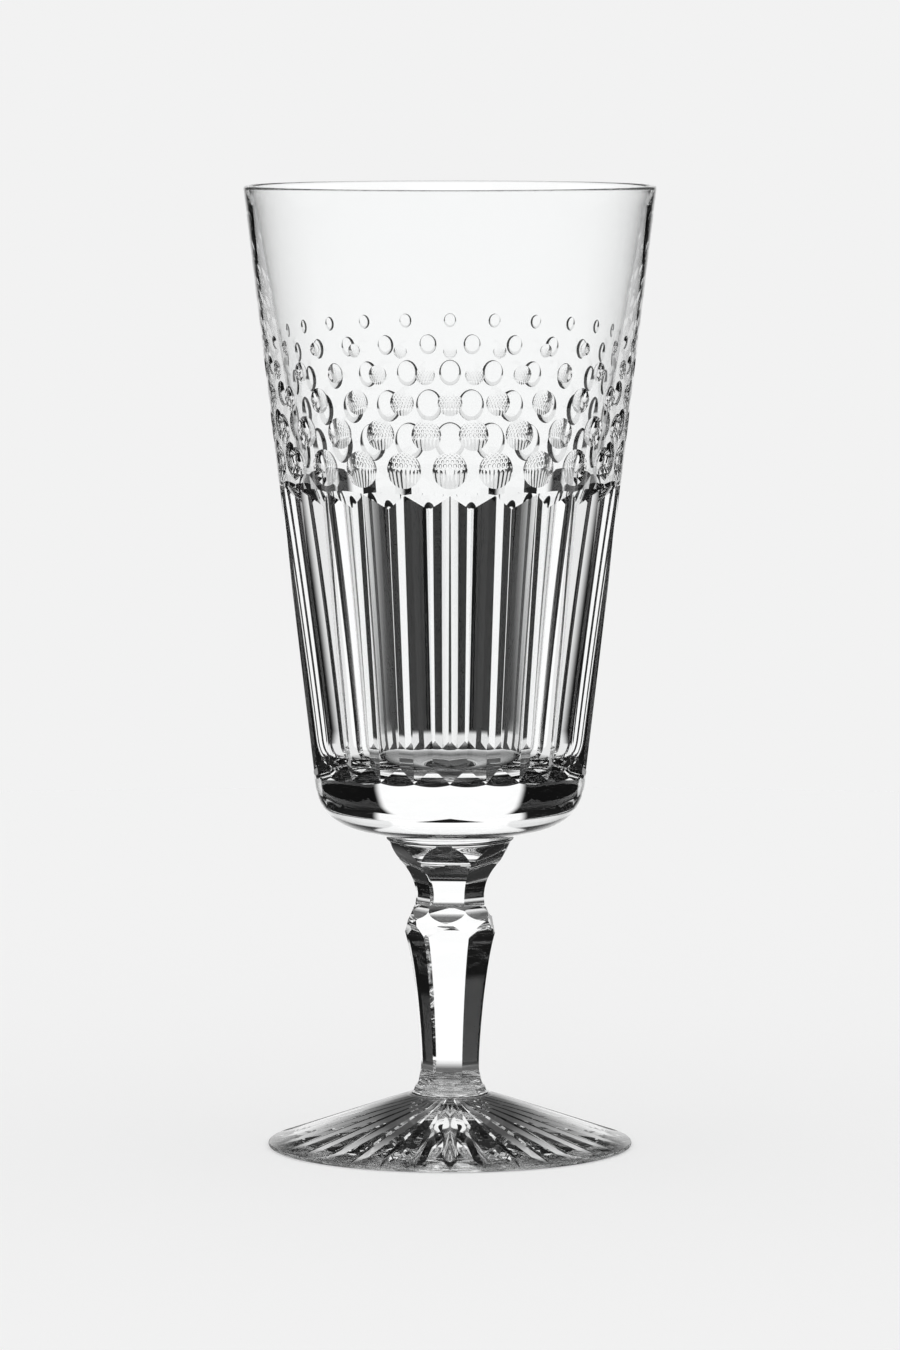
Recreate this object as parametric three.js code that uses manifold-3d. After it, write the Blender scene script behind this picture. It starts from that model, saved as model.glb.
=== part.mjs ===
// Footed iced beverage glass in clear cut crystal, in millimetres, +Z up, standing on z = 0.
// Four pieces of glass stand one on another and are fused face to face:
// foot (star cut underneath), stem (six-sided, with a knop), merese (joining wafer) and bowl.
import * as THREE from "three";
import { ConvexGeometry } from "three/addons/geometries/ConvexGeometry.js";
import { mergeVertices } from "three/addons/utils/BufferGeometryUtils.js";
import Module from "manifold-3d";

const wasm = await Module();
wasm.setup();

// Stack heights, from the table up: they add up to the glass's height of 200
const footHeight = 12.5;
const stemHeight = 51.5;
const mereseThickness = 1.125;
const bowlHeight = 134.875;

// Stem: half widths across its flats, and where the profile changes along it
const stemSides = 6;
const stemTurn = THREE.MathUtils.degToRad(-5.5); // how far the flats are turned from square-on
const collarRadius = 12.7; // round end under the bowl
const neckHalfWidth = 6.15;
const neckDrop = 12; // how far the neck lies below the bowl end
const neckHeight = stemHeight - neckDrop;
const knopHalfWidth = 9.5;
const knopDrop = 4.4; // how far the knop's edge lies below the neck
const knopHeight = neckHeight - knopDrop;
const knopFacetBelow = 3; // the knop's corners are cut off from this far below its edge
const knopFacetAbove = 2.1; // to this far above it
const waistHalfWidth = 5.25;
const waistHeight = 4.2;
const flatsEndHeight = 0.7; // where the flats run out at the foot end
const stemEndRadius = 7.25; // round end on the foot
const cornerSpare = 0.4; // how far the round blank stands outside the cut corners

// Merese: a thin wafer with a round edge, a little wider than the stem's collar
const mereseOverhang = 0.6;
const mereseRadius = collarRadius + mereseOverhang;

// Bowl blank: a straight cone with a heavy base
const rimRadius = 42.75;
const rimWall = 1.5;
const seatMargin = 0.6;
const bowlSeatRadius = mereseRadius + seatMargin; // flat under the bowl that the merese is fused to
const bowlCornerRadius = 28.1; // outside radius where the round bottom runs into the straight wall
const bowlCornerHeight = 11;
const floorThickness = 13.5;
const floorWall = 5; // wall thickness at the level of the inside floor
const floorFillet = 7;
const wallSwell = 1.1; // how far the inside bows in beside the mitres' upper ends

// Cuts on the bowl: V-shaped mitres side by side above the plain base, then rows of round thumbprints
// that grow smaller towards the plain lip
const mitreCount = 24;
const plainBase = 2.5; // uncut band between the round bottom and the mitres
const plainTop = 62; // from the mitres' upper ends to the rim, thumbprints included
const mitreBottom = bowlCornerHeight + plainBase; // heights above the bowl's underside
const mitreTop = bowlHeight - plainTop;
const mitreSlope = 0.42; // rise of a mitre's sides for each millimetre across
const mitreReach = 1.5; // how far the cutter goes up past the ridges, as a share of a side's width
const ridgeDrop = 0.1; // how far the ridges lie under the uncut surface
const runOut = 3; // length of the slope at each end of a mitre
const printRows = [
  { height: mitreTop + 5.2, radius: 3.8, over: "ridge" },
  { height: mitreTop + 12.4, radius: 3.2, over: "mitre" },
  { height: mitreTop + 18.9, radius: 2.6, over: "ridge" },
  { height: mitreTop + 24.6, radius: 2, over: "mitre" },
  { height: mitreTop + 29.4, radius: 1.4, over: "ridge" },
];
const printBall = 1.6; // radius of the ball that leaves a thumbprint, for each millimetre of its radius

// Foot: a low cone, hollowed underneath, on a flat ring
const footRadius = 37.9;
const footEdge = 0.8; // height of the round edge
const footFillet = 2; // how far the curve at the top of the cone reaches out from the stem
const filletShare = 0.155; // share of the cone's height that the curve takes
const footRingWidth = 5.9;
const footRingInner = footRadius - footRingWidth;
const footHollow = 4.5; // height of the hollow under the centre
const hollowFullness = 0.2; // how far out the hollow stays level, as a share of its radius
const starPoints = 32;
const starDepth = 1.7; // depth of the star cuts at the centre of the hollow
const starHalfWidth = 1.7; // half width of a cut for each millimetre of its depth
const starStart = 3; // distance of a cut's inner end from the axis

// Facets round each piece, and steps along each curve
const bowlSides = 2 * mitreCount;
const printSides = 8;
const printRings = 6;
const stemBlankSides = 8 * stemSides;
const footSides = 2 * starPoints;
const curveSteps = 4;

function crystal() {
  return new THREE.MeshStandardMaterial({
    color: 0xf4f6f7,
    roughness: 0.04,
    metalness: 0,
    transparent: true,
    opacity: 0.35,
  });
}

// A closed geometry as a solid, with shared corners merged and collapsed triangles dropped
function solidOf(geometry) {
  const bare = geometry.index ? geometry.toNonIndexed() : geometry.clone();
  bare.deleteAttribute("normal");
  bare.deleteAttribute("uv");
  const merged = mergeVertices(bare, 1e-4);
  const corners = merged.index.array;
  const kept = [];
  for (let i = 0; i < corners.length; i += 3) {
    const [a, b, c] = corners.slice(i, i + 3);
    if (a !== b && b !== c && c !== a) kept.push(a, b, c);
  }
  const vertProperties = merged.attributes.position.array;
  return new wasm.Manifold(
    new wasm.Mesh({ numProp: 3, vertProperties, triVerts: new Uint32Array(kept) }),
  );
}

function pieceOf(name, solid, height) {
  const { vertProperties, triVerts } = solid.getMesh();
  const geometry = new THREE.BufferGeometry();
  geometry.setAttribute("position", new THREE.BufferAttribute(vertProperties, 3));
  geometry.setIndex(new THREE.BufferAttribute(triVerts, 1));
  geometry.computeVertexNormals();
  const piece = new THREE.Mesh(geometry, crystal());
  piece.name = name;
  piece.position.z = height;
  return piece;
}

// A solid turned about the Z axis from a path of (radius, height) that starts and ends on the axis
function turned(path, sides) {
  const lathe = new THREE.LatheGeometry(path.getPoints(curveSteps), sides);
  return solidOf(lathe.rotateX(Math.PI / 2));
}

// Radius of the bowl's straight outer wall at a height above its underside
const wallSlope = (rimRadius - bowlCornerRadius) / (bowlHeight - bowlCornerHeight);
function wallRadius(height) {
  return bowlCornerRadius + wallSlope * (height - bowlCornerHeight);
}

function bowlBlank() {
  const rimRound = rimWall / 2;
  const innerRim = new THREE.Vector2(rimRadius - rimWall, bowlHeight - rimRound);
  const innerFloor = new THREE.Vector2(wallRadius(floorThickness) - floorWall, floorThickness);
  const straight = THREE.MathUtils.mapLinear(mitreTop, innerFloor.y, innerRim.y, innerFloor.x, innerRim.x);
  const bow = new THREE.Vector2(straight - 2 * wallSwell, mitreTop);
  const filletTop = bow.clone().sub(innerFloor).setLength(floorFillet).add(innerFloor);
  const path = new THREE.Path();
  path.moveTo(0, 0);
  path.lineTo(bowlSeatRadius, 0);
  const reach = bowlCornerRadius - bowlSeatRadius; // the corner's handles are shares of its size
  const handleHeight = 0.15 * bowlCornerHeight;
  path.bezierCurveTo(
    bowlSeatRadius + 0.39 * reach,
    handleHeight,
    wallRadius(handleHeight),
    handleHeight,
    bowlCornerRadius,
    bowlCornerHeight,
  );
  path.lineTo(wallRadius(bowlHeight - rimRound), bowlHeight - rimRound);
  path.quadraticCurveTo(rimRadius, bowlHeight, rimRadius - rimRound, bowlHeight);
  path.quadraticCurveTo(rimRadius - rimWall, bowlHeight, innerRim.x, innerRim.y);
  path.quadraticCurveTo(bow.x, bow.y, filletTop.x, filletTop.y);
  path.quadraticCurveTo(innerFloor.x, innerFloor.y, innerFloor.x - floorFillet, innerFloor.y);
  path.lineTo(0, floorThickness);
  return turned(path, bowlSides);
}

// The wedge for one mitre: its sides rise from the deepest line through the ridges that the mitre
// shares with its neighbours, and its ends slope out to the uncut surface
function mitreCutter() {
  const halfPitch = Math.PI / mitreCount;
  const pointAt = (height, share, side) => {
    const radius = wallRadius(height) - ridgeDrop;
    const halfWidth = radius * Math.sin(halfPitch);
    const ridge = new THREE.Vector3(radius * Math.cos(halfPitch), side * halfWidth, height);
    const deepest = new THREE.Vector3(ridge.x - mitreSlope * halfWidth, 0, height);
    return deepest.lerp(ridge, share);
  };
  const corners = [];
  for (const [share, side] of [[0, 1], [mitreReach, 1], [mitreReach, -1]]) {
    const slope = runOut * (1 - share);
    corners.push(pointAt(mitreBottom + slope, share, side));
    corners.push(pointAt(mitreTop - slope, share, side));
  }
  return new ConvexGeometry(corners);
}

// The ball that leaves a round thumbprint of the row's radius, with its pole pressed into the wall
function printCutter(row) {
  const outward = new THREE.Vector3(1, 0, -wallSlope).normalize();
  const ballRadius = printBall * row.radius;
  const ball = new THREE.SphereGeometry(ballRadius, printSides, printRings);
  ball.applyQuaternion(new THREE.Quaternion().setFromUnitVectors(new THREE.Vector3(0, 1, 0), outward));
  const standOff = Math.sqrt(ballRadius ** 2 - row.radius ** 2);
  const centre = new THREE.Vector3(wallRadius(row.height), 0, row.height).addScaledVector(outward, standOff);
  return ball.translate(...centre);
}

function bowl() {
  let cut = bowlBlank();
  const pitch = (2 * Math.PI) / mitreCount;
  for (let i = 0; i < mitreCount; i++) {
    cut = cut.subtract(solidOf(mitreCutter().rotateZ((i + 0.5) * pitch)));
    for (const row of printRows) {
      const turn = row.over === "mitre" ? i + 0.5 : i;
      cut = cut.subtract(solidOf(printCutter(row).rotateZ(turn * pitch)));
    }
  }
  return cut;
}

function merese() {
  const path = new THREE.Path();
  const round = mereseThickness / 2;
  path.moveTo(0, 0);
  path.lineTo(mereseRadius - round, 0);
  path.absarc(mereseRadius - round, round, round, -Math.PI / 2, Math.PI / 2, false);
  path.lineTo(0, mereseThickness);
  return turned(path, stemBlankSides);
}

// Half width across a pair of flats, as a path of (half width, height) from the foot end up;
// the curves' handles are shares of each stretch
function flatsPath() {
  const clear = collarRadius + cornerSpare;
  const path = new THREE.Path();
  path.moveTo(clear, 0);
  path.lineTo(clear, flatsEndHeight);
  path.lineTo(stemEndRadius, flatsEndHeight);
  path.quadraticCurveTo(waistHalfWidth, flatsEndHeight, waistHalfWidth, waistHeight);
  const run = knopHeight - waistHeight;
  const swell = knopHalfWidth - waistHalfWidth;
  path.bezierCurveTo(
    waistHalfWidth,
    waistHeight + 0.2 * run,
    waistHalfWidth + 0.4 * swell,
    knopHeight - 0.06 * run,
    knopHalfWidth,
    knopHeight,
  );
  path.quadraticCurveTo(neckHalfWidth, knopHeight + 0.2 * knopDrop, neckHalfWidth, neckHeight);
  path.bezierCurveTo(
    neckHalfWidth,
    neckHeight + 0.5 * neckDrop,
    0.8 * collarRadius,
    neckHeight + 0.7 * neckDrop,
    collarRadius,
    stemHeight,
  );
  return path;
}

// A bar between two opposite flats: the path and its mirror image, extruded along the flats
function barBetweenFlats(points, turn) {
  const mirrored = points.map((p) => new THREE.Vector2(-p.x, p.y)).reverse();
  const length = 4 * collarRadius;
  const bar = new THREE.ExtrudeGeometry(new THREE.Shape([...points, ...mirrored]), {
    depth: length,
    bevelEnabled: false,
  });
  bar.translate(0, 0, -length / 2).rotateX(Math.PI / 2);
  return solidOf(bar.rotateZ(turn));
}

// The round blank of the stem, just outside the corners that the flats leave
function stemBlank() {
  const toCorner = 1 / Math.cos(Math.PI / stemSides);
  const path = new THREE.Path();
  path.moveTo(0, 0);
  path.lineTo(stemEndRadius, 0);
  path.quadraticCurveTo(
    waistHalfWidth * toCorner,
    flatsEndHeight,
    waistHalfWidth * toCorner + cornerSpare,
    waistHeight,
  );
  path.lineTo(knopHalfWidth * toCorner, knopHeight - knopFacetBelow);
  path.lineTo(knopHalfWidth * toCorner, knopHeight + knopFacetAbove);
  path.lineTo(neckHalfWidth * toCorner + cornerSpare, neckHeight);
  path.bezierCurveTo(
    neckHalfWidth * toCorner + cornerSpare,
    neckHeight + 0.4 * neckDrop,
    0.91 * collarRadius,
    neckHeight + 0.69 * neckDrop,
    collarRadius,
    stemHeight,
  );
  path.lineTo(0, stemHeight);
  return turned(path, stemBlankSides);
}

// Half width between the facets that take the corners off the knop
function knopFacetPoints(flats) {
  const toCorner = 1 / Math.cos(Math.PI / stemSides);
  const halfWidthAt = (height) => {
    const above = flats.findIndex((p) => p.y > height);
    const [low, high] = [flats[above - 1], flats[above]];
    return THREE.MathUtils.mapLinear(height, low.y, high.y, low.x, high.x);
  };
  const clear = 2 * collarRadius;
  const bottom = knopHeight - knopFacetBelow;
  const top = knopHeight + knopFacetAbove;
  return [
    new THREE.Vector2(clear, 0),
    new THREE.Vector2(clear, bottom),
    new THREE.Vector2(halfWidthAt(bottom) * toCorner, bottom),
    new THREE.Vector2(halfWidthAt(top) * toCorner, top),
    new THREE.Vector2(clear, top),
    new THREE.Vector2(clear, stemHeight),
  ];
}

function stem() {
  const flats = flatsPath().getPoints(2 * curveSteps);
  const facets = knopFacetPoints(flats);
  const pairStep = (2 * Math.PI) / stemSides;
  let cut = stemBlank();
  for (let i = 0; i < stemSides / 2; i++) {
    const square = stemTurn + Math.PI / 2 + i * pairStep;
    cut = cut.intersect(barBetweenFlats(flats, square));
    cut = cut.intersect(barBetweenFlats(facets, square + pairStep / 2));
  }
  return cut;
}

function footBlank() {
  const edgeRound = footEdge / 2;
  const coneTop = footHeight - filletShare * (footHeight - footEdge);
  const path = new THREE.Path();
  path.moveTo(0, footHollow);
  path.quadraticCurveTo(hollowFullness * footRingInner, footHollow, footRingInner, 0);
  path.lineTo(footRadius - edgeRound, 0);
  path.absarc(footRadius - edgeRound, edgeRound, edgeRound, -Math.PI / 2, Math.PI / 2, false);
  path.lineTo(stemEndRadius + footFillet, coneTop);
  path.quadraticCurveTo(stemEndRadius + 0.2 * footFillet, coneTop, stemEndRadius, footHeight);
  path.lineTo(0, footHeight);
  return turned(path, footSides);
}

// One ray of the star: a V-shaped prism whose upper edge rises from the table towards the centre
function starCutter() {
  const reach = footRadius - footEdge; // where the rays run out
  const rise = (footHollow + starDepth) / reach;
  const outer = new THREE.Vector3(reach, 0, 0);
  const inner = new THREE.Vector3(starStart, 0, rise * (reach - starStart));
  const along = inner.clone().sub(outer);
  const depth = footHollow + 2 * starDepth;
  const section = new THREE.Shape();
  section.moveTo(0, 0);
  section.lineTo(-depth * starHalfWidth, -depth);
  section.lineTo(depth * starHalfWidth, -depth);
  const ray = new THREE.ExtrudeGeometry(section, { depth: along.length(), bevelEnabled: false });
  const across = new THREE.Vector3(0, -1, 0);
  const forward = along.clone().normalize();
  const up = new THREE.Vector3().crossVectors(forward, across);
  ray.applyMatrix4(new THREE.Matrix4().makeBasis(across, up, forward));
  return ray.translate(...outer);
}

function foot() {
  let cut = footBlank();
  for (let i = 0; i < starPoints; i++) {
    cut = cut.subtract(solidOf(starCutter().rotateZ((i * 2 * Math.PI) / starPoints)));
  }
  return cut;
}

const glass = new THREE.Group();
glass.add(pieceOf("foot", foot(), 0));
glass.add(pieceOf("stem", stem(), footHeight));
glass.add(pieceOf("merese", merese(), footHeight + stemHeight));
glass.add(pieceOf("bowl", bowl(), footHeight + stemHeight + mereseThickness));

export default glass;
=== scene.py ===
"""Looks of a footed iced beverage glass in clear cut crystal, around its CAD solids."""
import math

import bmesh
import bpy
import numpy as np
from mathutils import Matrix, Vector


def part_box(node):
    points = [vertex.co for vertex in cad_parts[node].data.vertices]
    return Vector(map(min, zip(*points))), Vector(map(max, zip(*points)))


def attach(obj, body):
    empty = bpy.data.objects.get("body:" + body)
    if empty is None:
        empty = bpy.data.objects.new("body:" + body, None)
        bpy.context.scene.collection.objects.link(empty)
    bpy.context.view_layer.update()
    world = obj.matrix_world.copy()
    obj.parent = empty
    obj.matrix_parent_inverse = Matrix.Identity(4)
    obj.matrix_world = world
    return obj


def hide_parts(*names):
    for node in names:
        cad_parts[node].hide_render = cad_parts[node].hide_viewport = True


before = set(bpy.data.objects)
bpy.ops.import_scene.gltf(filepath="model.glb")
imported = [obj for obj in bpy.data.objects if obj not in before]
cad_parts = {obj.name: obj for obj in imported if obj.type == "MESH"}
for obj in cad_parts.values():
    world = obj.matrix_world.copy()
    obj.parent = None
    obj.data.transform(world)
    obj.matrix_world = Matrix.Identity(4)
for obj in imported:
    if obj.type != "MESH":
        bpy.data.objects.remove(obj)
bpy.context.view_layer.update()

# Shapes are worked out in millimetres, from the CAD nodes' heights and, but for the bowl, their outer radii
MM = 0.001


def extent(cad_node):
    """Lowest height, highest height and outer radius of a CAD node, in millimetres."""
    low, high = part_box(cad_node)
    return low.z / MM, high.z / MM, high.x / MM


_, foot_top, foot_radius = extent("foot")
stem_bottom, stem_top, collar_radius = extent("stem")
merese_bottom, merese_top, merese_radius = extent("merese")
bowl_bottom, bowl_top, _ = extent("bowl")

# Bowl
RIM_RADIUS = 42.75  # where the straight wall would meet the top
RIM_WALL = 1.5
SEAT_MARGIN = 0.6  # flat under the bowl outside the merese
CORNER_RADIUS = 28.1  # where the round bottom runs into the straight wall
CORNER_HEIGHT = 11.0
CORNER_PULL = (0.39, 0.15)  # shares of the round bottom's width and height that its curve is drawn to
FLOOR_THICKNESS = 13.5
FLOOR_WALL = 5.0
FLOOR_FILLET = 7.0
WALL_SWELL = 1.1  # how far the inside bows in beside the mitres' upper ends

# Cuts on the bowl: V-shaped mitres side by side, and rows of round thumbprints
MITRES = 24
PLAIN_BASE = 2.5
PLAIN_TOP = 62.0
MITRE_SLOPE = 0.42  # rise of a mitre's sides for each millimetre across
MITRE_REACH = 1.5  # how far the cutter goes up past the ridges, as a share of a side's width
RIDGE_DROP = 0.1  # how far the ridges lie under the uncut surface
RUN_OUT = 3.0  # length of the slope at each end of a mitre
OVER_RIDGE, OVER_MITRE = 0.0, 0.5  # places of the cuts, in mitres from the +X side
PRINT_BALL = 1.6  # radius of the cutting ball for each millimetre of a thumbprint's radius
PRINT_ROWS = (  # height above the mitres, radius and place of each row of thumbprints
    (5.2, 3.8, OVER_RIDGE),
    (12.4, 3.2, OVER_MITRE),
    (18.9, 2.6, OVER_RIDGE),
    (24.6, 2.0, OVER_MITRE),
    (29.4, 1.4, OVER_RIDGE),
)

# Stem: each pull gives the shares of a stretch's width and height that its curve is drawn to
STEM_SIDES = 6
STEM_TURN = math.radians(-5.5)
NECK_HALF_WIDTH = 6.15
NECK_DROP = 12.0
FLATS_HOLD, FLATS_PULL = 0.5, (0.8, 0.7)  # how long the flats keep the neck's width, and their flare
BLANK_HOLD, BLANK_PULL = 0.4, (0.91, 0.69)  # the same for the round blank
KNOP_HALF_WIDTH = 9.5
KNOP_DROP = 4.4
KNOP_FACET_BELOW = 3.0  # the knop's corners are cut off from here
KNOP_FACET_ABOVE = 2.1  # to here, about its edge
SHOULDER_PULL = 0.2  # of the height alone
WAIST_HALF_WIDTH = 5.25
WAIST_HEIGHT = 4.2
WAIST_HOLD = 0.2  # how long the taper keeps the waist's width
TAPER_PULL = (0.4, 0.94)
FLATS_END = 0.7
STEM_END_RADIUS = 7.25
CORNER_SPARE = 0.4  # how far the blank stands out past the corners between flats

# Foot
FOOT_EDGE = 0.8
FOOT_FILLET = 2.0
FILLET_SHARE = 0.155  # of the height above the edge
FILLET_PULL = 0.2  # share of the fillet's width that its curve is drawn to
FOOT_RING = 5.9
FOOT_HOLLOW = 4.5
HOLLOW_FULLNESS = 0.2  # how far out the hollow stays level, as a share of its radius
STAR_POINTS = 32
STAR_DEPTH = 1.7
STAR_HALF_WIDTH = 1.7  # half width of a cut for each millimetre of its depth

# Glass: scales are in marks per metre, and finishes are the most roughness and the ripples' depth in metres
CRYSTAL_IOR = 1.54
CRYSTAL_COLOUR = (0.99, 0.995, 0.995, 1.0)
FINISHES = {"bowl": (0.004, 1.5e-6), "merese": (0.012, 1e-5), "stem": (0.01, 1e-5), "foot": (0.012, 1e-5)}
SMEAR_SCALE = 140.0
SMEAR_RANGE = (0.35, 0.75)  # of the noise, from clear glass to full smears
RIPPLE_SCALE = 55.0
SCUFF_SCALE = 900.0
SCUFF_RANGE = (0.4, 0.7)
SCUFF_ROUGHNESS = (0.05, 0.35)
SCUFF_HEIGHT = 5e-5  # in metres above the table

# Studio, in metres and radians
PALE = 0.888  # the photograph's background
SOFT_LIGHT = 1.0  # from all round
SHADOW_SHARE = 0.35  # how much the glass dims the soft light on its way to the floor
PANEL_LEVEL = 1.09  # brightness of the panels that the glass sees
GAP_LEVEL = 0.005  # and between them
PANEL_RADIUS = math.radians(24)  # of each round panel, seen from the glass
PANEL_SOFTNESS = 0.012
FLOOR_START = math.radians(-10)  # steeper than this, light comes from the pale floor
FLOOR_SOFTNESS = 0.03
ROOM_LEVEL = 0.02  # what the glass reflects, apart from a bright strip behind it
STRIP_LEVEL = 0.9
STRIP_HALF_WIDTH = 0.3
STRIP_TOP = 0.25
STRIP_SOFTNESS = 0.1
ANY_BOUNCE = 0.5  # a ray with more bounces than this has been mirrored
BOTH_WALLS = 3.5  # and one with more refractions than this has passed both walls of the bowl
FLOOR_RADIUS = 0.7
FLOOR_GAP = 1e-4  # between the floor and the foot
SHADE_LEVEL = 0.1  # brightness of the painted shade about the foot, seen through the glass
OPEN_FLOOR = (  # radius on the floor, and how much of the painted shade is open to the studio's light there
    (0.01, 0.0),
    (0.031, 0.9),
    (0.035, 0.2),
    (0.041, 0.05),
    (0.08, 0.05),
    (0.16, 1.0),
)
VIEW_DISTANCE = 1.5
EYE_HEIGHT = 0.236
LOOK_DOWN = math.radians(5.24)
VIEW_HEIGHT = math.radians(10.64)

# How finely the pieces are meshed, in millimetres where it is a length
BOWL_SEGMENTS = 15 * MITRES
TURNED_SEGMENTS = 192
BALL_SEGMENTS = 48
FLOOR_SEGMENTS = 96
MITRE_GROUPS = 4  # mitres cut together stand clear of each other
FLANK_COLUMNS = 4
LAND_COLUMNS = 7
CREASE_LIMITS = (0.15, 0.9)  # widths of a flank's columns, as shares of half the way to the next ray
CUT_CLEARANCE = 1.0  # how far cutters reach past the stem's ends
SAME_POINT = 1e-6  # curve points closer than this are one
ON_PLANE = 1e-3  # faces closer than this to a joint's height belong to it
WELD = 1e-3  # vertices closer than this become one
TURN_MISFIT = 0.5  # how far from a surface counts as much as facing square to it
BLOCK = 5000  # points that are measured at once

# The joint between merese and bowl, and heights and corners of the stem
joint_radius = merese_radius - (merese_top - merese_bottom) / 2
neck_height = stem_top - NECK_DROP
knop_height = neck_height - KNOP_DROP
waist_height = stem_bottom + WAIST_HEIGHT
to_corner = 1 / math.cos(math.pi / STEM_SIDES)


# Curves are arrays of (radius, height) points, from the bottom of the outside up and round to the inside
def line(start, end, steps=1):
    share = np.linspace(0, 1, steps + 1)[:, None]
    return (1 - share) * np.array(start, float) + share * np.array(end, float)


def bezier(points, steps):
    share = np.linspace(0, 1, steps + 1)[:, None]
    degree = len(points) - 1
    curve = np.zeros((steps + 1, 2))
    for i, point in enumerate(points):
        weight = math.comb(degree, i) * share**i * (1 - share) ** (degree - i)
        curve += weight * np.array(point, float)
    return curve


def half_round(centre, radius, steps):
    """A half circle that faces out, from its lowest point to its highest."""
    turn = np.linspace(-math.pi / 2, math.pi / 2, steps + 1)
    return radius * np.stack([np.cos(turn), np.sin(turn)], axis=1) + np.array(centre)


def chain(*curves):
    """The curves end to end, with the points that they share kept once."""
    points = np.vstack(curves)
    step = np.linalg.norm(np.diff(points, axis=0), axis=1)
    return points[np.concatenate([[True], step > SAME_POINT])]


def unit(vectors):
    return vectors / np.linalg.norm(vectors, axis=1)[:, None]


def curve_normals(curve):
    """Outward normals of a curve that runs up the outside: the tangent turned to the right."""
    steps = unit(np.diff(curve, axis=0))
    tangents = np.vstack([steps[:1], steps[:-1] + steps[1:], steps[-1:]])
    return unit(np.stack([tangents[:, 1], -tangents[:, 0]], axis=1))


def nearest_on_curve(curve, points):
    """Distance of each (radius, height) point from the curve, and the curve's normal beside it."""
    normals = curve_normals(curve)
    start, step = curve[:-1], np.diff(curve, axis=0)
    distance = np.empty(len(points))
    normal = np.empty((len(points), 2))
    for block in np.array_split(np.arange(len(points)), 1 + len(points) // BLOCK):
        offset = points[block, None, :] - start
        share = np.clip((offset * step).sum(2) / (step**2).sum(1), 0, 1)
        gap = np.linalg.norm(offset - share[..., None] * step, axis=2)
        best = gap.argmin(1)
        row = np.arange(len(block))
        along = share[row, best][:, None]
        distance[block] = gap[row, best]
        normal[block] = (1 - along) * normals[best] + along * normals[best + 1]
    return distance, unit(normal)


# Meshes are (vertices, faces) in millimetres until they become objects
def ring_faces(rings, count):
    """Faces of rings of points, one above the other, closed by a pole at each end."""
    faces = []
    first = rings * count
    for j in range(count):
        k = (j + 1) % count
        faces.append((first, k, j))
        for i in range(rings - 1):
            low, high = i * count, (i + 1) * count
            faces.append((low + j, low + k, high + k, high + j))
        top = (rings - 1) * count
        faces.append((top + j, top + k, first + 1))
    return faces


def turned(curve, segments):
    """A closed solid turned about Z from a curve that starts and ends on the axis."""
    angle = np.arange(segments) * 2 * math.pi / segments
    rings = curve[1:-1]
    x = rings[:, :1] * np.cos(angle)
    y = rings[:, :1] * np.sin(angle)
    z = np.repeat(rings[:, 1:], segments, axis=1)
    grid = np.stack([x, y, z], axis=2).reshape(-1, 3)
    poles = [[0, 0, curve[0, 1]], [0, 0, curve[-1, 1]]]
    return np.vstack([grid, poles]), ring_faces(len(rings), segments)


def moved(part, rotation=np.eye(3), offset=(0, 0, 0)):
    vertices, faces = part
    return vertices @ np.array(rotation).T + np.array(offset), faces


def about_z(angle):
    c, s = math.cos(angle), math.sin(angle)
    return np.array([[c, -s, 0], [s, c, 0], [0, 0, 1]])


def together(parts):
    vertices, faces, count = [], [], 0
    for part_vertices, part_faces in parts:
        vertices.append(part_vertices)
        faces.extend(tuple(i + count for i in face) for face in part_faces)
        count += len(part_vertices)
    return np.vstack(vertices), faces


def new_object(name, part):
    vertices, faces = part
    mesh = bpy.data.meshes.new(name)
    mesh.from_pydata((vertices * MM).tolist(), [], faces)
    piece = bpy.data.objects.new(name, mesh)
    bpy.context.scene.collection.objects.link(piece)
    return piece


def cut(piece, cutter_part, operation="DIFFERENCE"):
    cutter = new_object("cutter", cutter_part)
    boolean = piece.modifiers.new("cut", "BOOLEAN")
    boolean.object = cutter
    boolean.operation = operation
    boolean.solver = "MANIFOLD"
    depsgraph = bpy.context.evaluated_depsgraph_get()
    result = bpy.data.meshes.new_from_object(piece.evaluated_get(depsgraph))
    piece.modifiers.clear()
    blank, piece.data = piece.data, result
    bpy.data.meshes.remove(blank)
    bpy.data.meshes.remove(cutter.data)


def weld(piece):
    """Joins the vertices that the cuts leave beside each other, and drops the slivers between them."""
    mesh = bmesh.new()
    mesh.from_mesh(piece.data)
    bmesh.ops.remove_doubles(mesh, verts=mesh.verts, dist=WELD * MM)
    bmesh.ops.dissolve_degenerate(mesh, edges=mesh.edges, dist=WELD * MM)
    mesh.to_mesh(piece.data)
    mesh.free()


def mesh_arrays(mesh):
    """Vertices and face centres in millimetres, and the vertex and the face of each face corner."""
    vertices = np.empty(len(mesh.vertices) * 3)
    mesh.vertices.foreach_get("co", vertices)
    centres = np.empty(len(mesh.polygons) * 3)
    mesh.polygons.foreach_get("center", centres)
    sizes = np.empty(len(mesh.polygons), int)
    mesh.polygons.foreach_get("loop_total", sizes)
    corner_vertex = np.empty(len(mesh.loops), int)
    mesh.loops.foreach_get("vertex_index", corner_vertex)
    corner_face = np.repeat(np.arange(len(sizes)), sizes)
    return vertices.reshape(-1, 3) / MM, centres.reshape(-1, 3) / MM, corner_vertex, corner_face


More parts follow.
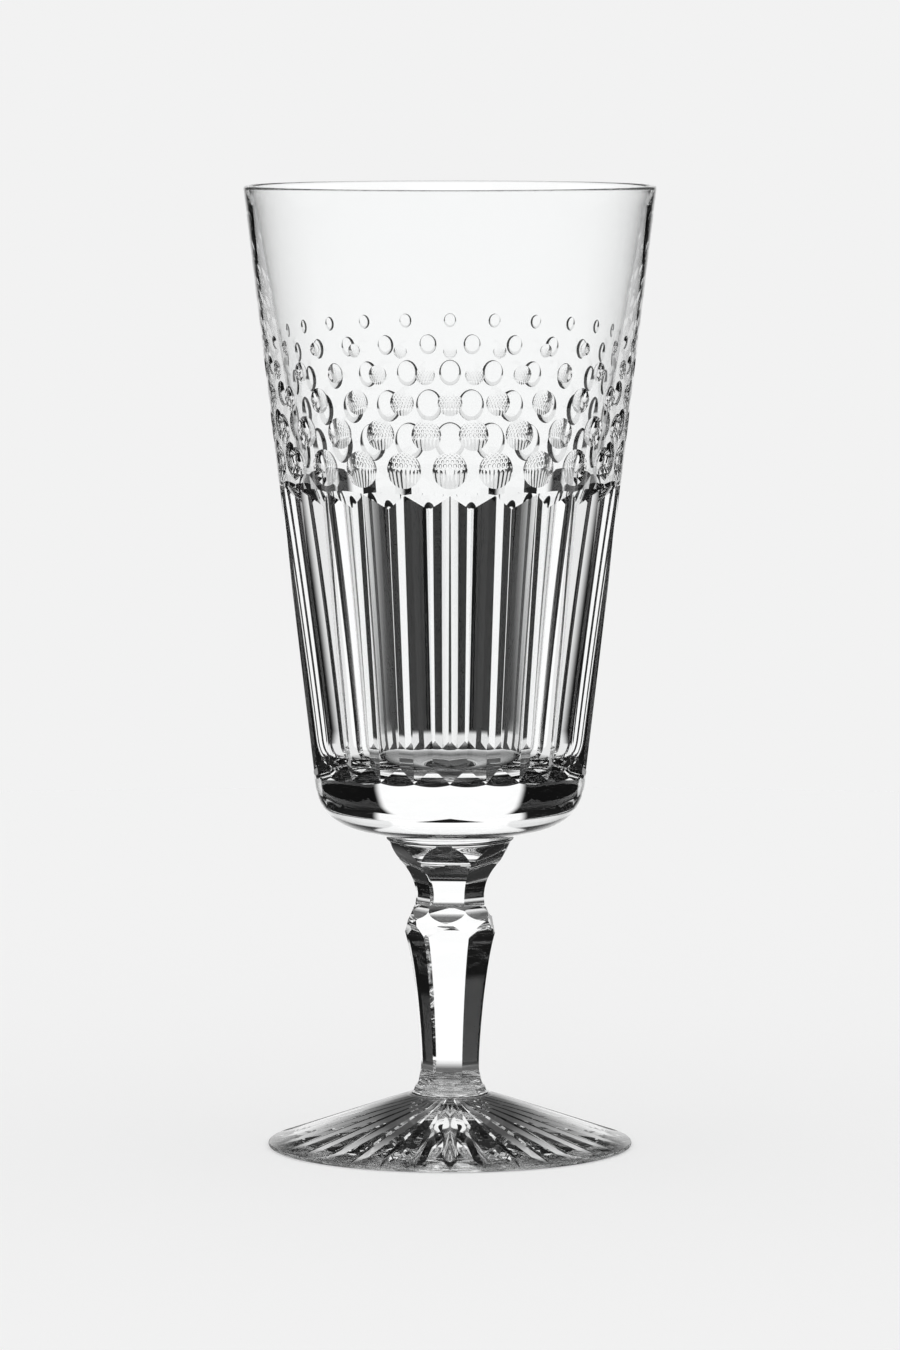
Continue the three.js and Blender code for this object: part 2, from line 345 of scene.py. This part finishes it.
# Surfaces are functions of points and their faces' centres, which give distances from them and normals
def shade(piece, surfaces):
    """Smooth normals from the true surfaces: each face takes those of the surface that it lies on."""
    vertices, centres, corner_vertex, corner_face = mesh_arrays(piece.data)
    facing = np.empty(len(centres) * 3)
    piece.data.polygons.foreach_get("normal", facing)
    misfits = []
    for surface in surfaces:
        distance, normal = surface(centres, centres)
        misfits.append(distance + TURN_MISFIT * (1 - (unit(normal) * facing.reshape(-1, 3)).sum(1)))
    owner = np.argmin(misfits, axis=0)[corner_face]
    normals = np.empty((len(corner_vertex), 3))
    for i, surface in enumerate(surfaces):
        corners = owner == i
        if corners.any():
            points = vertices[corner_vertex[corners]]
            normals[corners] = surface(points, centres[corner_face[corners]])[1]
    piece.data.shade_smooth()
    piece.data.normals_split_custom_set(unit(normals).tolist())


def turned_surface(curve):
    """The surface that a curve leaves when it is turned about Z."""

    def surface(points, centres):
        x, y, z = points.T
        distance, flat = nearest_on_curve(curve, np.stack([np.hypot(x, y), z], axis=1))
        angle = np.arctan2(y, x)
        normal = np.stack([flat[:, 0] * np.cos(angle), flat[:, 0] * np.sin(angle), flat[:, 1]], axis=1)
        return distance, normal

    return surface


# The bowl's outline and its cuts
def wall_radius(height):
    slope = (RIM_RADIUS - CORNER_RADIUS) / (bowl_top - bowl_bottom - CORNER_HEIGHT)
    return CORNER_RADIUS + slope * (height - bowl_bottom - CORNER_HEIGHT)


def band_ends():
    """Heights between which the mitres lie."""
    return bowl_bottom + CORNER_HEIGHT + PLAIN_BASE, bowl_top - PLAIN_TOP


def bowl_curve():
    seat = merese_radius + SEAT_MARGIN
    rim_round = RIM_WALL / 2
    rim_low = bowl_top - rim_round
    floor = bowl_bottom + FLOOR_THICKNESS
    inner_floor = np.array([wall_radius(floor) - FLOOR_WALL, floor])
    inner_rim = np.array([RIM_RADIUS - RIM_WALL, rim_low])
    _, band_top = band_ends()
    straight = inner_floor[0] + (inner_rim[0] - inner_floor[0]) * (band_top - floor) / (rim_low - floor)
    bow = np.array([straight - 2 * WALL_SWELL, band_top])
    up_wall = (bow - inner_floor) / np.linalg.norm(bow - inner_floor)
    fillet_top = inner_floor + FLOOR_FILLET * up_wall
    pull_out, pull_up = CORNER_PULL
    handle = bowl_bottom + pull_up * CORNER_HEIGHT
    corner = [
        (seat, bowl_bottom),
        (seat + pull_out * (CORNER_RADIUS - seat), handle),
        (wall_radius(handle), handle),
        (CORNER_RADIUS, bowl_bottom + CORNER_HEIGHT),
    ]
    outer_rim = [(wall_radius(rim_low), rim_low), (RIM_RADIUS, bowl_top), (RIM_RADIUS - rim_round, bowl_top)]
    inner_lip = [(RIM_RADIUS - rim_round, bowl_top), (RIM_RADIUS - RIM_WALL, bowl_top), tuple(inner_rim)]
    fillet = [tuple(fillet_top), tuple(inner_floor), (inner_floor[0] - FLOOR_FILLET, floor)]
    return chain(
        [(0, bowl_bottom)],
        line((joint_radius, bowl_bottom), corner[0]),
        bezier(corner, steps=24),
        line(corner[-1], outer_rim[0]),
        bezier(outer_rim, steps=8),
        bezier(inner_lip, steps=8),
        bezier([inner_rim, bow, fillet_top], steps=40),
        bezier(fillet, steps=16),
        [(0, floor)],
    )


def turned_by(vectors, angle):
    c, s = np.cos(angle), np.sin(angle)
    x, y, z = vectors.T
    return np.stack([x * c - y * s, x * s + y * c, z], axis=1)


def nearest_turn(points, place):
    """Which copy of a cut each point is nearest to, as an angle, for cuts that start at a place."""
    pitch = 2 * math.pi / MITRES
    angle = np.arctan2(points[:, 1], points[:, 0])
    return (np.round(angle / pitch - place) + place) * pitch


def round_the_bowl(part, turns):
    pitch = 2 * math.pi / MITRES
    return together([moved(part, about_z(turn * pitch)) for turn in turns])


def mitre_point(height, share, side):
    """A point of the mitre on the +X side: a share of the way from its deepest line up to the ridge."""
    half_pitch = math.pi / MITRES
    radius = wall_radius(height) - RIDGE_DROP
    ridge = np.array([radius * math.cos(half_pitch), side * radius * math.sin(half_pitch), height])
    deepest = np.array([ridge[0] - MITRE_SLOPE * abs(ridge[1]), 0.0, height])
    return deepest + share * (ridge - deepest)


def faces_away(corners, middle):
    return np.cross(corners[1] - corners[0], corners[2] - corners[0]) @ (corners[0] - middle) > 0


def mitre_side(corners, middle):
    """A flat side of the nearest mitre, facing the middle of its cutter."""
    normal = np.cross(corners[1] - corners[0], corners[2] - corners[0])
    normal *= np.sign(normal @ (middle - corners[0])) / np.linalg.norm(normal)

    def surface(points, centres):
        turn = nearest_turn(centres, OVER_MITRE)
        distance = np.abs((turned_by(points, -turn) - corners[0]) @ normal)
        return distance, turned_by(np.tile(normal, (len(points), 1)), turn)

    return surface


def mitre_cutter():
    """The wedge that cuts the mitre on the +X side, and the surfaces that its flat sides leave."""
    low, high = band_ends()
    corners = []
    for share, side in ((0, 1), (MITRE_REACH, 1), (MITRE_REACH, -1)):
        slope = RUN_OUT * (1 - share)
        corners.append(mitre_point(low + slope, share, side))
        corners.append(mitre_point(high - slope, share, side))
    corners = np.array(corners)
    middle = corners.mean(0)
    faces = [(0, 1, 3, 2), (0, 1, 5, 4), (0, 2, 4), (1, 3, 5), (2, 3, 5, 4)]
    faces = [face if faces_away(corners[list(face)], middle) else face[::-1] for face in faces]
    sides = [mitre_side(corners[list(face)], middle) for face in faces[:4]]
    return (corners, faces), sides


def print_ball(height, radius):
    """Centre and radius of the ball that leaves a thumbprint on the +X side."""
    slope = wall_radius(1.0) - wall_radius(0.0)
    outward = np.array([1, 0, -slope]) / math.hypot(1, slope)
    ball = PRINT_BALL * radius
    centre = np.array([wall_radius(height), 0, height]) + math.sqrt(ball**2 - radius**2) * outward
    return centre, ball


def ball_cutter(centre, radius):
    curve = half_round((0, 0), radius, steps=BALL_SEGMENTS // 2)
    return moved(turned(curve, BALL_SEGMENTS), offset=centre)


def print_surface(place, centre, ball):
    """The hollow that the nearest ball of a row leaves."""

    def surface(points, centres):
        turn = nearest_turn(centres, place)
        inward = centre - turned_by(points, -turn)
        return np.abs(np.linalg.norm(inward, axis=1) - ball), turned_by(inward, turn)

    return surface


def make_bowl():
    curve = bowl_curve()
    piece = new_object("bowl_glass", turned(curve, BOWL_SEGMENTS))
    mitre, sides = mitre_cutter()
    for start in range(MITRE_GROUPS):
        cut(piece, round_the_bowl(mitre, np.arange(start, MITRES, MITRE_GROUPS) + OVER_MITRE))
    surfaces = [turned_surface(curve), *sides]
    _, band_top = band_ends()
    for height, radius, place in PRINT_ROWS:
        centre, ball = print_ball(band_top + height, radius)
        cut(piece, round_the_bowl(ball_cutter(centre, ball), np.arange(MITRES) + place))
        surfaces.append(print_surface(place, centre, ball))
    weld(piece)
    shade(piece, surfaces)
    return piece


# The merese
def make_merese():
    edge_round = merese_radius - joint_radius
    edge = half_round((joint_radius, merese_bottom + edge_round), edge_round, steps=12)
    curve = chain([(0, merese_bottom)], [(collar_radius, merese_bottom)], edge, [(0, merese_top)])
    piece = new_object("merese_glass", turned(curve, TURNED_SEGMENTS))
    shade(piece, [turned_surface(curve)])
    return piece


# The stem
def flare(neck_radius, hold, pull):
    """Points of the curve from the neck out to the collar, which first keeps the neck's radius."""
    return [
        (neck_radius, neck_height),
        (neck_radius, neck_height + hold * NECK_DROP),
        (pull[0] * collar_radius, neck_height + pull[1] * NECK_DROP),
        (collar_radius, stem_top),
    ]


def flats_curve():
    """Half width across a pair of flats, from where they start above the foot, in four smooth parts."""
    run = knop_height - waist_height
    swell = KNOP_HALF_WIDTH - WAIST_HALF_WIDTH
    start = stem_bottom + FLATS_END
    run_out = [(STEM_END_RADIUS, start), (WAIST_HALF_WIDTH, start), (WAIST_HALF_WIDTH, waist_height)]
    taper = [
        (WAIST_HALF_WIDTH, waist_height),
        (WAIST_HALF_WIDTH, waist_height + WAIST_HOLD * run),
        (WAIST_HALF_WIDTH + TAPER_PULL[0] * swell, waist_height + TAPER_PULL[1] * run),
        (KNOP_HALF_WIDTH, knop_height),
    ]
    shoulder = [
        (KNOP_HALF_WIDTH, knop_height),
        (NECK_HALF_WIDTH, knop_height + SHOULDER_PULL * KNOP_DROP),
        (NECK_HALF_WIDTH, neck_height),
    ]
    neck = flare(NECK_HALF_WIDTH, FLATS_HOLD, FLATS_PULL)
    return (
        bezier(run_out, steps=24),
        bezier(taper, steps=120),
        bezier(shoulder, steps=32),
        bezier(neck, steps=48),
    )


def stem_blank_curve():
    """The round blank that the flats are cut from."""
    waist_corner = WAIST_HALF_WIDTH * to_corner
    knop_corner = KNOP_HALF_WIDTH * to_corner
    foot_end = [
        (STEM_END_RADIUS, stem_bottom),
        (waist_corner, stem_bottom + FLATS_END),
        (waist_corner + CORNER_SPARE, waist_height),
    ]
    neck = flare(NECK_HALF_WIDTH * to_corner + CORNER_SPARE, BLANK_HOLD, BLANK_PULL)
    return chain(
        [(0, stem_bottom)],
        bezier(foot_end, steps=16),
        [(knop_corner, knop_height - KNOP_FACET_BELOW), (knop_corner, knop_height + KNOP_FACET_ABOVE)],
        bezier(neck, steps=30),
        [(0, stem_top)],
    )


def bar(curve, turn):
    """A bar between two opposite flats, as wide as twice the curve's radius at each height."""
    length = 2 * collar_radius
    outline = np.vstack([curve, curve[::-1] * [-1, 1]])
    count = len(outline)
    near = np.column_stack([outline[:, 0], np.full(count, -length), outline[:, 1]])
    far = near * [1, -1, 1]
    sides = [(i + count, (i + 1) % count + count, (i + 1) % count, i) for i in range(count)]
    strips = [(i, i + 1, count - 2 - i, count - 1 - i) for i in range(count // 2 - 1)]
    back = [tuple(j + count for j in reversed(strip)) for strip in strips]
    return moved((np.vstack([near, far]), sides + strips + back), about_z(turn))


def flat_surface(curve, turn):
    """The flat of a bar on the side that faces the given direction."""
    direction = np.array([math.cos(turn), math.sin(turn)])

    def surface(points, centres):
        across = np.stack([points[:, :2] @ direction, points[:, 2]], axis=1)
        distance, flat = nearest_on_curve(curve, across)
        return distance, np.column_stack([flat[:, :1] * direction, flat[:, 1]])

    return surface


def make_stem():
    blank = stem_blank_curve()
    piece = new_object("stem_glass", turned(blank, TURNED_SEGMENTS))
    smooth_parts = flats_curve()
    flats = chain(*smooth_parts)
    clear = 2 * collar_radius
    below, above = stem_bottom - CUT_CLEARANCE, stem_top + CUT_CLEARANCE
    flats_bar = chain([(clear, below), (clear, flats[0, 1])], flats, [(flats[-1, 0], above)])
    ends = np.array([knop_height - KNOP_FACET_BELOW, knop_height + KNOP_FACET_ABOVE])
    widths = np.interp(ends, flats[:, 1], flats[:, 0]) * to_corner
    facet = np.stack([widths, ends], axis=1)
    facet_bar = chain([(clear, below), (clear, ends[0])], facet, [(clear, ends[1]), (clear, above)])
    surfaces = [turned_surface(blank)]
    side_step = 2 * math.pi / STEM_SIDES
    for i in range(STEM_SIDES):
        turn = STEM_TURN + math.pi / 2 + i * side_step
        if i < STEM_SIDES // 2:
            cut(piece, bar(flats_bar, turn), "INTERSECT")
            cut(piece, bar(facet_bar, turn + side_step / 2), "INTERSECT")
        surfaces.extend(flat_surface(smooth_part, turn) for smooth_part in smooth_parts)
        surfaces.append(flat_surface(facet, turn + side_step / 2))
    weld(piece)
    shade(piece, surfaces)
    return piece


# The foot: its star is laid out in the mesh itself, ring by ring, with columns along every crease
def foot_curves():
    """The underside from the middle of the hollow out, and the edge and cone up to the stem."""
    ring_inner = foot_radius - FOOT_RING
    edge_round = FOOT_EDGE / 2
    edge_centre = foot_radius - edge_round
    hollow = [(0, FOOT_HOLLOW), (HOLLOW_FULLNESS * ring_inner, FOOT_HOLLOW), (ring_inner, 0)]
    flat = line((ring_inner, 0), (edge_centre, 0), steps=16)
    edge = half_round((edge_centre, edge_round), edge_round, steps=16)
    cone_top = foot_top - FILLET_SHARE * (foot_top - FOOT_EDGE)
    cone = line(edge[-1], (STEM_END_RADIUS + FOOT_FILLET, cone_top), steps=8)
    fillet = [cone[-1], (STEM_END_RADIUS + FILLET_PULL * FOOT_FILLET, cone_top), (STEM_END_RADIUS, foot_top)]
    return chain(bezier(hollow, steps=48), flat), chain(edge, cone, bezier(fillet, steps=12))


def star_slope():
    """Fall of the cuts' deepest line for each millimetre along a ray, and where it reaches the table."""
    reach = foot_radius - FOOT_EDGE
    return (FOOT_HOLLOW + STAR_DEPTH) / reach, reach


def star_height(along, across):
    """Height of a V-shaped cut, at a distance along its ray and a distance to the side of it."""
    slope, reach = star_slope()
    return slope * (reach - along) - np.abs(across) / STAR_HALF_WIDTH


def star_columns(radius, height):
    """Angles from a ray to the next one: down one flank, over the land and up the next flank."""
    half_pitch = math.pi / STAR_POINTS
    least, most = CREASE_LIMITS
    width = STAR_HALF_WIDTH * np.clip(star_height(radius, 0) - height, 0, None)
    crease = np.clip(np.arcsin(min(1, width / radius)), least * half_pitch, most * half_pitch)
    flank = np.linspace(0, crease, FLANK_COLUMNS)
    land = np.linspace(crease, 2 * half_pitch - crease, LAND_COLUMNS)
    return np.concatenate([flank, land[1:], 2 * half_pitch - flank[::-1][1:-1]])


def star_ring(radius, columns, heights):
    """A ring of points that repeats the columns and their heights from every ray of the star to the next."""
    pitch = 2 * math.pi / STAR_POINTS
    angle = (np.arange(STAR_POINTS)[:, None] * pitch + columns).ravel()
    return np.stack([radius * np.cos(angle), radius * np.sin(angle), np.tile(heights, STAR_POINTS)], axis=1)


def flank_surface(side):
    """One flank of the nearest ray of the star."""
    pitch = 2 * math.pi / STAR_POINTS
    slope, reach = star_slope()
    tilt = side / STAR_HALF_WIDTH
    steepness = math.sqrt(1 + slope**2 + tilt**2)

    def surface(points, centres):
        turn = np.round(np.arctan2(centres[:, 1], centres[:, 0]) / pitch) * pitch
        c, s = np.cos(turn), np.sin(turn)
        along = points[:, 0] * c + points[:, 1] * s
        across = points[:, 1] * c - points[:, 0] * s
        plane = slope * (reach - along) - tilt * across
        normal = np.stack([-slope * c + tilt * s, -slope * s - tilt * c, -np.ones(len(c))], axis=1)
        return np.abs(points[:, 2] - plane) / steepness, normal

    return surface


def make_foot():
    underside, outside = foot_curves()
    pitch = 2 * math.pi / STAR_POINTS
    rings = []
    for radius, height in underside[1:]:
        columns = star_columns(radius, height)
        nearest = np.minimum(columns, pitch - columns)
        cuts = star_height(radius * np.cos(nearest), radius * np.sin(nearest))
        rings.append(star_ring(radius, columns, np.maximum(height, cuts)))
    for radius, height in outside[1:]:
        rings.append(star_ring(radius, columns, np.full(len(columns), height)))
    poles = [[0, 0, star_height(0, 0)], [0, 0, foot_top]]
    faces = ring_faces(len(rings), len(rings[0]))
    piece = new_object("foot_glass", (np.vstack(rings + [poles]), faces))
    outline = chain(underside, outside, [(0, foot_top)])
    shade(piece, [turned_surface(outline), flank_surface(1), flank_surface(-1)])
    return piece


# Nodes
def new_material(name):
    material = bpy.data.materials.new(name)
    material.use_nodes = True
    tree = material.node_tree
    tree.nodes.clear()
    return material, tree


def feed(tree, socket, value):
    """Gives a socket its value, or links it to the output of another node."""
    if isinstance(value, bpy.types.NodeSocket):
        tree.links.new(value, socket)
    else:
        socket.default_value = value


def node(tree, kind, **values):
    """A new node, with its settings and its inputs given by name (spaces written as underscores)."""
    made = tree.nodes.new(kind)
    for key, value in values.items():
        if hasattr(made, key):
            setattr(made, key, value)
        else:
            feed(tree, made.inputs[key.replace("_", " ")], value)
    return made


def calculate(tree, operation, *values):
    made = node(tree, "ShaderNodeMath", operation=operation)
    for socket, value in zip(made.inputs, values):
        feed(tree, socket, value)
    return made.outputs["Value"]


def product(tree, first, *others):
    for other in others:
        first = calculate(tree, "MULTIPLY", first, other)
    return first


def mix(tree, share, first, second):
    """The first value where the share is 0, and the second where it is 1 or more."""
    return node(tree, "ShaderNodeMix", Factor=share, A=first, B=second).outputs["Result"]


def mix_shaders(tree, share, first, second):
    mixed = node(tree, "ShaderNodeMixShader")
    for socket, value in zip(mixed.inputs, (share, first, second)):
        tree.links.new(value, socket)
    return mixed.outputs["Shader"]


def ramp(tree, value, start, end, low, high, kind="LINEAR"):
    """The low value up to a start, and the high value from an end on."""
    made = node(tree, "ShaderNodeMapRange", interpolation_type=kind, Value=value)
    for name, limit in zip(("From Min", "From Max", "To Min", "To Max"), (start, end, low, high)):
        made.inputs[name].default_value = limit
    return made.outputs["Result"]


def soft_step(tree, value, edge, softness, below, above):
    return ramp(tree, value, edge - softness, edge + softness, below, above, "SMOOTHSTEP")


# Glass: clear crystal whose polish varies a little, and the fused joints inside the stack
def crystal(name, roughest, ripple, worn):
    """Clear crystal, from the most roughness of its polish and the depth of its ripples in metres."""
    material, tree = new_material(name)
    place = node(tree, "ShaderNodeTexCoord").outputs["Object"]
    smear = node(tree, "ShaderNodeTexNoise", Vector=place, Scale=SMEAR_SCALE, Detail=3.0, Roughness=0.6)
    roughness = ramp(tree, smear.outputs["Fac"], *SMEAR_RANGE, 0.0, roughest)
    if worn:
        roughness = add_wear(tree, place, roughness)
    wave = node(tree, "ShaderNodeTexNoise", Vector=place, Scale=RIPPLE_SCALE, Detail=1.0)
    bump = node(tree, "ShaderNodeBump", Height=wave.outputs["Fac"], Strength=1.0, Distance=ripple)
    glass = node(
        tree,
        "ShaderNodeBsdfPrincipled",
        Base_Color=CRYSTAL_COLOUR,
        IOR=CRYSTAL_IOR,
        Transmission_Weight=1.0,
        Roughness=roughness,
        Normal=bump.outputs["Normal"],
    )
    node(tree, "ShaderNodeOutputMaterial", Surface=glass.outputs["BSDF"])
    return material


def add_wear(tree, place, roughness):
    """Fine scuffs at the bottom, where the glass rubs on the table."""
    split = node(tree, "ShaderNodeSeparateXYZ", Vector=place)
    near = ramp(tree, split.outputs["Z"], 0.0, SCUFF_HEIGHT, 1.0, 0.0)
    scuffs = node(tree, "ShaderNodeTexNoise", Vector=place, Scale=SCUFF_SCALE, Detail=4.0)
    worn = ramp(tree, scuffs.outputs["Fac"], *SCUFF_RANGE, *SCUFF_ROUGHNESS)
    return mix(tree, near, roughness, worn)


def fused_joint():
    """The plane where two pieces have run together: light passes straight through it."""
    material, tree = new_material("fused_joint")
    clear = node(tree, "ShaderNodeBsdfTransparent")
    node(tree, "ShaderNodeOutputMaterial", Surface=clear.outputs["BSDF"])
    return material


def dress(piece, material, joint_material, joints):
    """Gives a piece its glass, with joints as (height, radius) of the flat ends that are fused."""
    piece.data.materials.clear()
    piece.data.materials.append(material)
    piece.data.materials.append(joint_material)
    _, centres, _, _ = mesh_arrays(piece.data)
    reach = np.hypot(centres[:, 0], centres[:, 1])
    index = np.zeros(len(centres), int)
    for height, radius in joints:
        index[(np.abs(centres[:, 2] - height) < ON_PLANE) & (reach < radius)] = 1
    piece.data.polygons.foreach_set("material_index", index)
    piece.data.update()


def place_pieces():
    joint = fused_joint()
    made = [
        (make_bowl(), "bowl", [(bowl_bottom, joint_radius)]),
        (make_merese(), "merese", [(merese_bottom, collar_radius), (merese_top, joint_radius)]),
        (make_stem(), "stem", [(stem_bottom, STEM_END_RADIUS), (stem_top, collar_radius)]),
        (make_foot(), "foot", [(foot_top, STEM_END_RADIUS)]),
    ]
    for piece, cad_node, joints in made:
        material = crystal(cad_node + "_crystal", *FINISHES[cad_node], worn=cad_node == "foot")
        dress(piece, material, joint, joints)
        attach(piece, "root")
        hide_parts(cad_node)


# Studio: pale floor, pale background, and soft light from bright panels with dark gaps between them
def panel_light(tree, direction):
    """Brightness in a direction: a round panel on each of four sides, and the pale floor below."""
    split = node(tree, "ShaderNodeSeparateXYZ", Vector=direction)
    sideways = [calculate(tree, "ABSOLUTE", split.outputs[axis]) for axis in "XY"]
    aligned = calculate(tree, "MAXIMUM", *sideways)
    panels = soft_step(tree, aligned, math.cos(PANEL_RADIUS), PANEL_SOFTNESS, GAP_LEVEL, PANEL_LEVEL)
    floor = soft_step(tree, split.outputs["Z"], math.sin(FLOOR_START), FLOOR_SOFTNESS, PALE, 0.0)
    return calculate(tree, "MAXIMUM", panels, floor)


def reflected_light(tree, direction, path):
    """Brightness of what the glass reflects: a dark room with a low bright strip behind the glass."""
    split = node(tree, "ShaderNodeSeparateXYZ", Vector=direction)
    aside = calculate(tree, "ABSOLUTE", split.outputs["X"])
    narrow = soft_step(tree, aside, STRIP_HALF_WIDTH, STRIP_SOFTNESS, 1.0, 0.0)
    low = soft_step(tree, split.outputs["Z"], STRIP_TOP, STRIP_SOFTNESS, 1.0, 0.0)
    behind = calculate(tree, "GREATER_THAN", split.outputs["Y"], 0.0)
    strip = product(tree, narrow, low, behind, path.outputs["Is Reflection Ray"])
    return mix(tree, strip, ROOM_LEVEL, STRIP_LEVEL)


def mirrored(tree, path):
    """1 for rays that a wall of the bowl has mirrored, the near wall or the far one, and 0 for the rest."""
    near_wall = product(tree, path.outputs["Is Glossy Ray"], path.outputs["Is Reflection Ray"])
    bounced = calculate(tree, "GREATER_THAN", path.outputs["Glossy Depth"], ANY_BOUNCE)
    through_walls = calculate(tree, "GREATER_THAN", path.outputs["Transmission Depth"], BOTH_WALLS)
    far_wall = product(tree, bounced, through_walls)
    return calculate(tree, "MAXIMUM", near_wall, far_wall)


def make_world():
    world = bpy.data.worlds.new("studio")
    bpy.context.scene.world = world
    world.use_nodes = True
    tree = world.node_tree
    tree.nodes.clear()
    direction = node(tree, "ShaderNodeTexCoord").outputs["Generated"]
    path = node(tree, "ShaderNodeLightPath")
    share = mix(tree, path.outputs["Diffuse Depth"], 1.0, SHADOW_SHARE)
    plain = mix(tree, path.outputs["Is Camera Ray"], SOFT_LIGHT, PALE)
    refracted = product(tree, path.outputs["Is Transmission Ray"], share)
    level = mix(tree, refracted, plain, panel_light(tree, direction))
    reflected = product(tree, mirrored(tree, path), share)
    level = mix(tree, reflected, level, reflected_light(tree, direction, path))
    light = node(tree, "ShaderNodeBackground", Color=level)
    node(tree, "ShaderNodeOutputWorld", Surface=light.outputs["Background"])


def floor_material():
    """Pale and matt; through the glass it shows painted shade about the foot, and further out the studio's
    light.
    """
    material, tree = new_material("pale_floor")
    matt = node(tree, "ShaderNodeBsdfDiffuse", Color=(PALE, PALE, PALE, 1))
    place = node(tree, "ShaderNodeTexCoord").outputs["Object"]
    away = node(tree, "ShaderNodeVectorMath", operation="LENGTH")
    tree.links.new(place, away.inputs[0])
    reach = OPEN_FLOOR[-1][0]
    share = ramp(tree, away.outputs["Value"], 0.0, reach, 0.0, 1.0)
    open_floor = node(tree, "ShaderNodeValToRGB", Fac=share)
    stops = open_floor.color_ramp.elements
    for radius, _ in OPEN_FLOOR[1:-1]:
        stops.new(radius / reach)
    for stop, (radius, lit) in zip(stops, OPEN_FLOOR):
        stop.position = radius / reach
        stop.color = (lit, lit, lit, 1)
    # Painted shade: a dim glow on the floor, seen only through the glass, stands in for the shade about the
    # foot
    shaded = node(tree, "ShaderNodeEmission", Color=(SHADE_LEVEL, SHADE_LEVEL, SHADE_LEVEL, 1))
    studio = node(tree, "ShaderNodeBsdfTransparent")
    seen = mix_shaders(tree, open_floor.outputs["Color"], shaded.outputs["Emission"], studio.outputs["BSDF"])
    path = node(tree, "ShaderNodeLightPath")
    glass_rays = (path.outputs["Is Glossy Ray"], path.outputs["Is Transmission Ray"])
    through_glass = calculate(tree, "MAXIMUM", *glass_rays)
    surface = mix_shaders(tree, through_glass, matt.outputs["BSDF"], seen)
    node(tree, "ShaderNodeOutputMaterial", Surface=surface)
    return material


def make_floor():
    angle = np.arange(FLOOR_SEGMENTS) * 2 * math.pi / FLOOR_SEGMENTS
    rim = np.stack([np.cos(angle), np.sin(angle), np.zeros(FLOOR_SEGMENTS)], axis=1) * FLOOR_RADIUS / MM
    floor = new_object("floor", (rim, [tuple(range(FLOOR_SEGMENTS))]))
    floor.location.z = -FLOOR_GAP
    floor.data.materials.append(floor_material())


def make_camera():
    data = bpy.data.cameras.new("camera")
    data.sensor_fit = "VERTICAL"
    data.sensor_height = 36.0
    data.lens = 0.5 * data.sensor_height / math.tan(VIEW_HEIGHT / 2)
    data.clip_end = 20.0
    camera = bpy.data.objects.new("camera", data)
    camera.location = (0.0, -VIEW_DISTANCE, EYE_HEIGHT)
    camera.rotation_euler = (math.pi / 2 - LOOK_DOWN, 0.0, 0.0)
    bpy.context.scene.collection.objects.link(camera)
    bpy.context.scene.camera = camera


def set_render():
    scene = bpy.context.scene
    scene.view_settings.view_transform = "Standard"
    scene.cycles.max_bounces = 32
    scene.cycles.transmission_bounces = 32
    scene.cycles.glossy_bounces = 16
    scene.cycles.transparent_max_bounces = 32
    scene.cycles.blur_glossy = 0.0


place_pieces()
make_world()
make_floor()
make_camera()
set_render()
